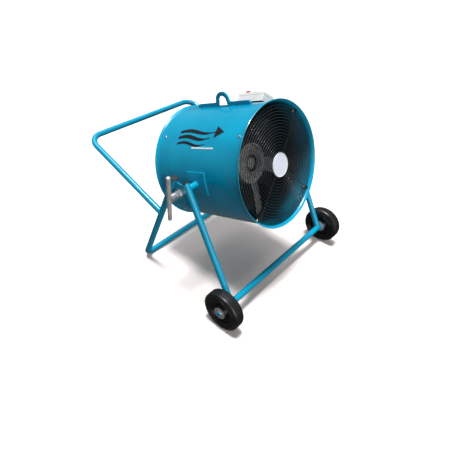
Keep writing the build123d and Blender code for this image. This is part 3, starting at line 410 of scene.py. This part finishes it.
def weld_beads(name, body, paths, size):
    """Weld beads with the overlapping ripples of a hand-run bead."""
    ripple = 0.0058

    def radius_at(index, distance):
        wave = abs(math.sin(math.pi * distance / ripple + index))
        wander = 0.06 * math.sin(distance * 310 + index * 1.7)
        return size * (0.8 + 0.24 * wave + wander)

    verts, faces = swept_rings(paths, radius_at)
    dress(link_mesh(name, verts, faces), body, "blue_paint")


# ------------------------------------------------------------------ weld beads on the frame


FRONT_TOP = Vector((0.197, 0, 0.681))
REAR_TOP = Vector((0.1185, 0, 0.675))
REAR_FOOT = Vector((-0.155, 0, TUBE_R))
FRONT_FOOT = Vector((AXLE.x, 0, AXLE.z))
BAR = Vector((TUBE_R - AXLE.x - AXLE.z, 0, 0.632))
JOINT = REAR_TOP.lerp(REAR_FOOT, 0.402)
FRONT_Y, REAR_Y = 0.419, 0.415
PLATE_FACES = (0.414, 0.420)


def on_leg_line(top, foot, z):
    return top.lerp(foot, (z - top.z) / (foot.z - top.z))


def plate_seams():
    """Seams of each gusset plate with its two legs, on both faces."""
    for side in SIDES:
        for face in PLATE_FACES:
            legs = ((REAR_TOP, REAR_FOOT, REAR_Y, 0.542, 1), (FRONT_TOP, FRONT_FOOT, FRONT_Y, 0.560, -1))
            for top, foot, leg_y, low_z, inward in legs:
                lean = (foot - top).normalized()
                across = Vector((-lean.z, 0, lean.x)) * (1 if -lean.z * inward > 0 else -1)
                reach = math.sqrt(TUBE_R**2 - (face - leg_y) ** 2) + 0.0006
                ends = [on_leg_line(top, foot, z) + across * reach for z in (0.6595, low_z + 0.001)]
                yield divided(*[Vector((p.x, side * face, p.z)) for p in ends]), False


def handle_seams():
    """Saddle seams where the push handle meets the rear legs."""
    arm = (BAR - JOINT).normalized()
    leg = (REAR_FOOT - REAR_TOP).normalized()
    across = Vector((-leg.z, 0, leg.x))
    across = across if across.dot(arm) > 0 else -across
    square = Vector((-arm.z, 0, arm.x))
    radius = TUBE_R + 0.0005
    for side in SIDES:
        points = []
        for i in range(56):
            turn = 2 * math.pi * i / 56
            low = radius * math.cos(turn) * square.dot(across)
            reach = (radius * abs(math.cos(turn)) - low) / arm.dot(across)
            point = JOINT + arm * reach + square * radius * math.cos(turn)
            points.append(Vector((point.x, side * (REAR_Y + radius * math.sin(turn)), point.z)))
        yield points, True


def corner_seams():
    """Mitre seams between the front legs and the cross tube."""
    leg = (FRONT_FOOT - FRONT_TOP).normalized()
    radius = TUBE_R + 0.0003
    for side in SIDES:
        normal = (leg + Vector((0, -side, 0))).normalized()
        first = Vector((-leg.z, 0, leg.x))
        corner = Vector((AXLE.x, side * FRONT_Y, AXLE.z))
        points = []
        for i in range(60):
            turn = 2 * math.pi * i / 60
            spoke = (first * math.cos(turn) + LEFT * math.sin(turn)) * radius
            points.append(corner + spoke - leg * (spoke.dot(normal) / leg.dot(normal)))
        yield points, True


weld_beads("plate_welds", "frame", list(plate_seams()), 0.0021)
weld_beads("handle_welds", "frame", list(handle_seams()), 0.0022)
weld_beads("corner_welds", "frame", list(corner_seams()), 0.0018)

# ------------------------------------------------------------------ weld beads on the drum


def pad_seams():
    """Seams round the two pads, on the barrel."""
    front, rear = PAD_FRONT + 0.0006, PAD_REAR - 0.0006
    low, high = (math.degrees(math.asin(rise / BARREL_R)) for rise in (PAD_LOW, PAD_HIGH))
    arc = [low + (high - low) * i / 50 for i in range(51)]
    for side in SIDES:

        def spot(s, angle):
            return drum_point(s, angle if side > 0 else 180 - angle, BARREL_R + 0.0008)

        loop = [spot(front, angle) for angle in arc]
        loop += divided(spot(front, high), spot(rear, high))[1:-1]
        loop += [spot(rear, angle) for angle in reversed(arc)]
        loop += divided(spot(rear, low), spot(front, low))[1:-1]
        yield loop, True


def boss_seams():
    """Seams round the feet of the bosses, on the pads."""
    for side in SIDES:
        ring = []
        for i in range(54):
            turn = 2 * math.pi * i / 54
            along, rise = BOSS_SEAM_R * math.cos(turn), BOSS_SEAM_R * math.sin(turn)
            spot = PIVOT + FORWARD * along + DRUM_UP * rise
            ring.append(spot + LEFT * side * (math.sqrt(PAD_R**2 - rise**2) + 0.0004))
        yield ring, True


def lug_seams():
    """Seams along both sides of the lifting lug."""
    for side in SIDES:
        for run in LUG_RUNS:
            ends = []
            for s in run:
                foot = RIM + FORWARD * s + LEFT * side * LUG_HALF
                ends.append(foot + DRUM_UP * (math.sqrt(BARREL_R**2 - LUG_HALF**2) + 0.0006))
            yield divided(*ends), False


def arm_seams():
    """Seams of the motor arms inside the barrel."""
    for angle in GUARD_ANGLES:
        for side in SIDES:
            across = drum_out(angle + 90) * side * ARM_HALF
            ends = [drum_point(s, angle, ARM_FOOT_R) + across for s in ARM_ENDS]
            yield divided(*ends), False


def barrel_seam():
    """Lengthwise seam of the rolled barrel, underneath."""
    yield divided(*[drum_point(s, SEAM_ANGLE, BARREL_R + 0.0002) for s in SEAM_ENDS]), False


weld_beads("pad_welds", "drum", list(pad_seams()), 0.0022)
weld_beads("boss_welds", "drum", list(boss_seams()), 0.0024)
weld_beads("lug_welds", "drum", list(lug_seams()), 0.0026)
weld_beads("arm_welds", "drum", list(arm_seams()), 0.0022)
weld_beads("barrel_seam_weld", "drum", list(barrel_seam()), 0.0018)

# ------------------------------------------------------------------ guards, screws and clamp


def guard_spots():
    """Spot welds where each guard ring crosses a rod."""
    for end, direction in GUARD_ENDS:
        for index in range(RING_COUNT):
            radius = RING_FIRST_R + index * RING_STEP
            rod_s = end + direction * GUARD_PEAK * (1 - radius / GUARD_EDGE_R)
            for angle in GUARD_ANGLES:
                yield drum_point(rod_s + direction * (ROD_TOP - 0.0001), angle, radius), direction


def small_domes(spots, radius, lift):
    """Verts and faces of low domes, each set on a point and facing along the drum."""
    verts, faces = [], []
    for centre, direction in spots:
        start = len(verts)
        for level, share in ((0.0, 1.0), (0.6, 0.8), (0.9, 0.42)):
            for k in range(8):
                turn = math.pi * k / 4
                flat = (LEFT * math.cos(turn) + DRUM_UP * math.sin(turn)) * radius * share
                verts.append(centre + flat + FORWARD * direction * lift * level)
        verts.append(centre + FORWARD * direction * lift)
        for ring in (0, 8):
            for k in range(8):
                n = (k + 1) % 8
                quad = (start + ring + k, start + ring + n, start + ring + 8 + n, start + ring + 8 + k)
                faces.append(quad if direction > 0 else quad[::-1])
        for k in range(8):
            tip = (start + 16 + k, start + 16 + (k + 1) % 8, start + 24)
            faces.append(tip if direction > 0 else tip[::-1])
        base = tuple(start + k for k in reversed(range(8)))
        faces.append(base if direction > 0 else base[::-1])
    return verts, faces


verts, faces = small_domes(guard_spots(), 0.0034, 0.0016)
dress(link_mesh("guard_spot_welds", verts, faces), "drum", "black_wire")


def sidewall_rings():
    """Raised rings moulded on both sidewalls of each tyre."""
    for name, side in (("left", 1), ("right", -1)):
        centre = Vector(JOINTS[f"wheel_{name}_spin"]["pos_m"])
        paths = []
        for face in SIDES:
            for radius in (0.0805, 0.0835, 0.0875):
                hub = centre + LEFT * face * (TYRE_W / 2)
                turns = [2 * math.pi * i / 96 for i in range(96)]
                ring = [hub + Vector((math.cos(t), 0, math.sin(t))) * radius for t in turns]
                paths.append((ring, True))
        verts, faces = swept_rings(paths, lambda index, distance: 0.0009, 6)
        piece = link_mesh(f"sidewall_rings_{name}", verts, faces)
        dress(piece, f"wheel_{name}", "tyre_rubber")


sidewall_rings()


def badge_ring():
    """Bright rolled edge of the blank plate on the front guard."""
    ring = [drum_point(0.0002, 360 * i / 96, 0.0582) for i in range(96)]
    verts, faces = swept_rings([(ring, True)], lambda index, distance: 0.0014, 8)
    dress(link_mesh("badge_ring", verts, faces), "drum", "white_plastic")


badge_ring()


def prisms(spots, sides, height):
    """Verts and faces of short prisms: (foot centre, axis, first spoke) for each."""
    verts, faces = [], []
    for centre, axis, spoke in spots:
        start = len(verts)
        for lift in (0, height):
            for k in range(sides):
                arm = Matrix.Rotation(2 * math.pi * k / sides, 3, axis) @ spoke
                verts.append(centre + axis * lift + arm)
        for k in range(sides):
            n = (k + 1) % sides
            faces.append((start + k, start + n, start + sides + n, start + sides + k))
        faces.append(tuple(start + k for k in reversed(range(sides))))
        faces.append(tuple(start + sides + k for k in range(sides)))
    return verts, faces


def painted_shade_sockets():
    """Black hexagons on the heads of the guard screws, painted shade for their hex socket recesses."""
    for s in GUARD_SCREWS:
        for angle in GUARD_ANGLES:
            yield drum_point(s, angle, BARREL_R + 0.0036), drum_out(angle), FORWARD * 0.0029


verts, faces = prisms(painted_shade_sockets(), 6, 0.00055)
dress(link_mesh("painted_shade_sockets", verts, faces, smooth=False), "drum", "black_plastic")


def make_thread():
    """Rolled thread on the bare stretch of the clamp screw."""
    start, end, pitch, radius = -0.4455, -0.4503, 0.0025, 0.0101
    points = []
    turns = (start - end) / pitch
    for i in range(int(turns * 28)):
        turn = 2 * math.pi * i / 28
        spot = Vector((math.cos(turn) * radius, 0, math.sin(turn) * radius))
        points.append(Vector((PIVOT.x, start - pitch * i / 28, PIVOT.z)) + spot)
    verts, faces = swept_rings([(points, False)], lambda index, distance: 0.0008, 6)
    dress(link_mesh("clamp_thread", verts, faces), "clamp", "zinc_steel")


make_thread()

# ------------------------------------------------------------------ decal on the barrel

DECAL_R = BARREL_R + 0.0006
DECAL_THICK = 0.0002
DECAL_S, DECAL_ANGLE = -0.29, 135.2


def decal_point(along, rise, thickness=0.0):
    """Point of the decal: along is metres towards the outlet, rise is metres up round the barrel."""
    angle = DECAL_ANGLE - math.degrees(rise / BARREL_R)
    return drum_point(DECAL_S + along, angle, DECAL_R + thickness)


def decal_strip(upper, lower):
    """Verts and faces of one thin printed strip between two edges of equal length."""
    rows = 8
    verts, faces = [], []
    for (ax, ay), (bx, by) in zip(upper, lower):
        for j in range(rows + 1):
            x, y = ax + (bx - ax) * j / rows, ay + (by - ay) * j / rows
            verts += [decal_point(x, y), decal_point(x, y, DECAL_THICK)]
    stride = 2 * (rows + 1)
    for i in range(len(upper) - 1):
        for j in range(rows):
            a = i * stride + 2 * j
            b = (i + 1) * stride + 2 * j
            faces.append((a + 1, b + 1, b + 3, a + 3))
            faces.append((a, a + 2, b + 2, b))
    for i in range(len(upper) - 1):
        a, b = i * stride, (i + 1) * stride
        faces.append((a, b, b + 1, a + 1))
        faces.append((a + 2 * rows, a + 2 * rows + 1, b + 2 * rows + 1, b + 2 * rows))
    last = (len(upper) - 1) * stride
    for j in range(rows):
        faces.append((2 * j, 2 * j + 1, 2 * j + 3, 2 * j + 2))
        faces.append((last + 2 * j, last + 2 * j + 2, last + 2 * j + 3, last + 2 * j + 1))
    return verts, faces


def wave(start, end, mid, thick, bend=0.008, steps=40):
    """Edges of a tapered wavy line of moving air."""
    upper, lower = [], []
    for i in range(steps + 1):
        share = i / steps
        x = start + (end - start) * share
        y = mid + bend * math.sin(2 * math.pi * share)
        half = 0.5 * thick * (0.25 + 0.75 * math.sin(math.pi * min(1, share + 0.12)) ** 0.6)
        upper.append((x, y + half))
        lower.append((x, y - half))
    return upper, lower


def arrow_head(tip, base, half, mid, steps=10):
    """Edges of a solid arrow head that narrows to its tip."""
    upper, lower = [], []
    for i in range(steps + 1):
        share = i / steps
        x = base + (tip - base) * share
        upper.append((x, mid + half * (1 - share) + 0.0002))
        lower.append((x, mid - half * (1 - share) - 0.0002))
    return upper, lower


def make_decal():
    """Generic airflow mark: wavy lines of air, an arrow towards the outlet and a pale line below."""
    verts, faces = [], []
    shapes = [wave(-0.15, 0.10, 0.026, 0.020), wave(-0.15, 0.075, -0.006, 0.020),
              wave(-0.15, 0.05, -0.038, 0.014), arrow_head(0.155, 0.10, 0.032, 0.026)]
    for upper, lower in shapes:
        new_verts, new_faces = decal_strip(upper, lower)
        faces += [tuple(index + len(verts) for index in face) for face in new_faces]
        verts += new_verts
    dress(link_mesh("airflow_decal", verts, faces, smooth=False), "drum", "blue_paint", DECAL)
    edges = [[(-0.035 + 0.005 * i, rise) for i in range(31)] for rise in (-0.054, -0.061)]
    piece = link_mesh("decal_line", *decal_strip(*edges), smooth=False)
    dress(piece, "drum", "white_plastic")


make_decal()

# ------------------------------------------------------------------ floor

floor_nodes = Nodes(bpy.data.materials.new("studio_floor"))
floor_nodes.set(Base_Color=(0.96, 0.90, 0.87, 1), Roughness=0.9, Specular_IOR_Level=0.1)
FLOOR_REACH = 40
corners = [(x * FLOOR_REACH, y * FLOOR_REACH, 0) for x, y in ((-1, -1), (1, -1), (1, 1), (-1, 1))]
floor = link_mesh("studio_floor", corners, [(0, 1, 2, 3)])
floor.data.materials.append(floor_nodes.material)
floor.visible_glossy = False
floor.visible_diffuse = False


def studio_world():
    """Dim studio fill, a little brighter from below; the backdrop itself shows white."""
    world = bpy.data.worlds.new("studio")
    world.use_nodes = True
    tree = world.node_tree
    fill = tree.nodes["Background"]
    fill.inputs["Strength"].default_value = 0.23
    place = tree.nodes.new("ShaderNodeTexCoord")
    split = tree.nodes.new("ShaderNodeSeparateXYZ")
    tone = tree.nodes.new("ShaderNodeValToRGB")
    height = tree.nodes.new("ShaderNodeMapRange")
    height.inputs["From Min"].default_value = -1
    tree.links.new(place.outputs["Generated"], split.inputs["Vector"])
    tree.links.new(split.outputs["Z"], height.inputs["Value"])
    tree.links.new(height.outputs["Result"], tone.inputs["Fac"])
    tree.links.new(tone.outputs["Color"], fill.inputs["Color"])
    below, above = tone.color_ramp.elements
    below.position, below.color = 0.44, (0.45, 0.45, 0.45, 1)
    above.position, above.color = 0.56, (0.95, 0.95, 0.95, 1)
    zenith = tone.color_ramp.elements.new(0.85)
    zenith.color = (0.4, 0.4, 0.4, 1)
    backdrop = tree.nodes.new("ShaderNodeBackground")
    either = tree.nodes.new("ShaderNodeMixShader")
    rays = tree.nodes.new("ShaderNodeLightPath")
    tree.links.new(rays.outputs["Is Camera Ray"], either.inputs["Fac"])
    tree.links.new(fill.outputs["Background"], either.inputs[1])
    tree.links.new(backdrop.outputs["Background"], either.inputs[2])
    backdrop.inputs["Color"].default_value = (1, 1, 1, 1)
    tree.links.new(either.outputs["Shader"], tree.nodes["World Output"].inputs["Surface"])
    scene.world = world


studio_world()
